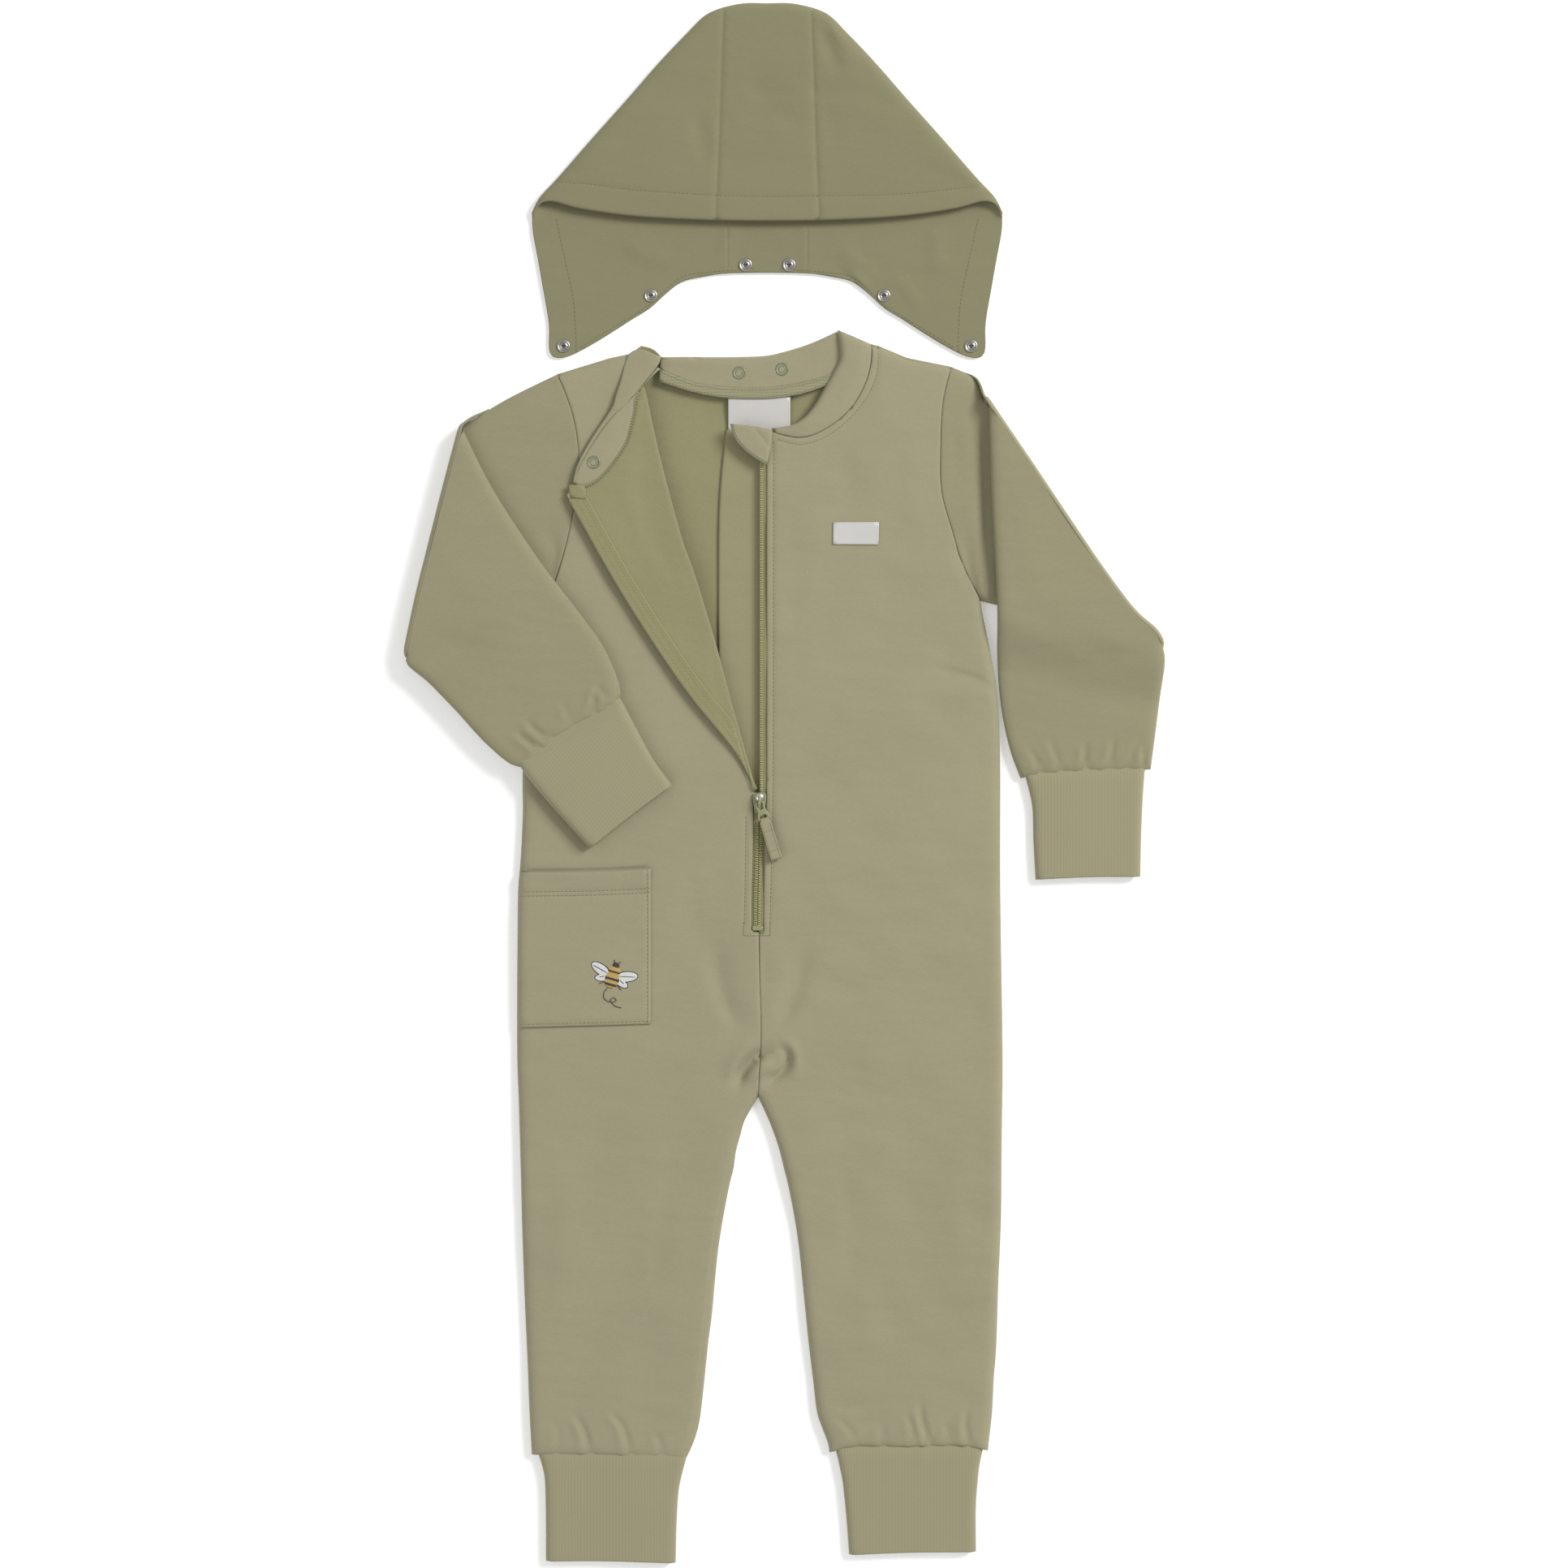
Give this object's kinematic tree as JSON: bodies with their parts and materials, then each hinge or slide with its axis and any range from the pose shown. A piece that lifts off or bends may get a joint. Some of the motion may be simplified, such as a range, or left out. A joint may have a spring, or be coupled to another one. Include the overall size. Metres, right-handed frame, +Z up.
{
  "type": "beekeeping suit",
  "caption": "Child's zip-front hooded jumpsuit in olive fleece, laid flat with one front turned out, both sleeves folded and the hood snapped off.",
  "frame": {"origin": "on the surface that the suit lies on, under the middle of its box", "axes": "+Y from the feet to the head, +X towards the wearer's left, +Z up out of the front"},
  "size_m": [0.546, 1.118, 0.0183],
  "materials": {
    "fleece": "matte brushed cotton fleece, olive green",
    "hood_fleece": "matte brushed cotton fleece, olive green",
    "rib_knit": "fine rib knit, olive green",
    "zip_tape": "woven polyester tape, olive green",
    "zip_coil": "moulded coil, olive green",
    "satin_label": "satin, off white",
    "silver_snap": "plated, silver",
    "ring_snap": "painted ring, olive green",
    "slider_paint": "painted, worn to silver at its edges"
  },
  "bodies": {
    "suit": {"back_panel_left": "fleece", "back_panel_right": "fleece", "front_panel_left": "fleece", "front_panel_right": "fleece", "collar_back_outer": "fleece", "collar_back_inner": "fleece", "collar_left_outer": "fleece", "collar_left_inner": "fleece", "collar_snap_back_left": "ring_snap", "collar_snap_back_right": "ring_snap", "collar_snap_side_left": "ring_snap", "collar_snap_front_left": "ring_snap", "neck_tape": "zip_tape", "size_label": "satin_label", "chest_label": "satin_label", "placket_facing": "fleece", "chin_guard": "fleece", "thigh_pocket": "fleece", "zip_tape_left": "zip_tape", "zip_coil_left": "zip_coil", "zip_tape_right_lower": "zip_tape", "zip_coil_right_lower": "zip_coil", "zip_bottom_stop": "silver_snap", "zip_top_stop_left": "silver_snap", "sleeve_left_upper": "fleece", "sleeve_right_upper": "fleece", "ankle_cuff_left": "rib_knit", "ankle_cuff_right": "rib_knit"},
    "front_flap": {"front_flap_right": "fleece", "zip_tape_right_upper": "zip_tape", "zip_coil_right_upper": "zip_coil", "zip_top_stop_right": "silver_snap", "zip_tape_end_patch": "zip_tape", "collar_right_outer": "fleece", "collar_right_inner": "fleece", "collar_snap_front_right": "ring_snap"},
    "lower_left_sleeve": {"sleeve_left_lower": "fleece", "wrist_cuff_left": "rib_knit"},
    "lower_right_sleeve": {"sleeve_right_lower": "fleece", "wrist_cuff_right": "rib_knit"},
    "slider": {"zip_slider": "slider_paint"},
    "pull": {"zip_pull": "slider_paint", "pull_tab": "rib_knit"},
    "hood": {"hood_left_panel": "hood_fleece", "hood_centre_panel": "hood_fleece", "hood_right_panel": "hood_fleece", "hood_snap_back_left": "silver_snap", "hood_snap_back_right": "silver_snap", "hood_snap_side_left": "silver_snap", "hood_snap_side_right": "silver_snap", "hood_snap_front_left": "silver_snap", "hood_snap_front_right": "silver_snap"}
  },
  "joints": [
    {"name": "right_front_flap", "type": "hinge", "parent": "suit", "child": "front_flap", "pos_m": [-0.021, -0.0052, 0.00915], "axis": [-0.2664, 0.9639, 0], "range_deg": [0, 180]},
    {"name": "left_sleeve_fold", "type": "hinge", "parent": "suit", "child": "lower_left_sleeve", "pos_m": [0.2725, 0.11, 0.00915], "axis": [-0.6083, 0.7937, 0], "range_deg": [0, 180]},
    {"name": "right_sleeve_fold", "type": "hinge", "parent": "suit", "child": "lower_right_sleeve", "pos_m": [-0.273, 0.092, 0.00915], "axis": [-0.2397, -0.9708, 0], "range_deg": [0, 180]},
    {"name": "zip_slide", "type": "slide", "parent": "suit", "child": "slider", "axis": [0, 1, 0], "range_m": [-0.079, 0.23]},
    {"name": "pull_swing", "type": "hinge", "parent": "slider", "child": "pull", "pos_m": [-0.0175, -0.0136, 0.0123], "axis": [-0.9563, -0.2924, 0], "range_deg": [0, 165]},
    {"name": "hood_lift", "type": "slide", "parent": "suit", "child": "hood", "axis": [0, 0, 1], "range_m": [0, 0.15]}
  ]
}
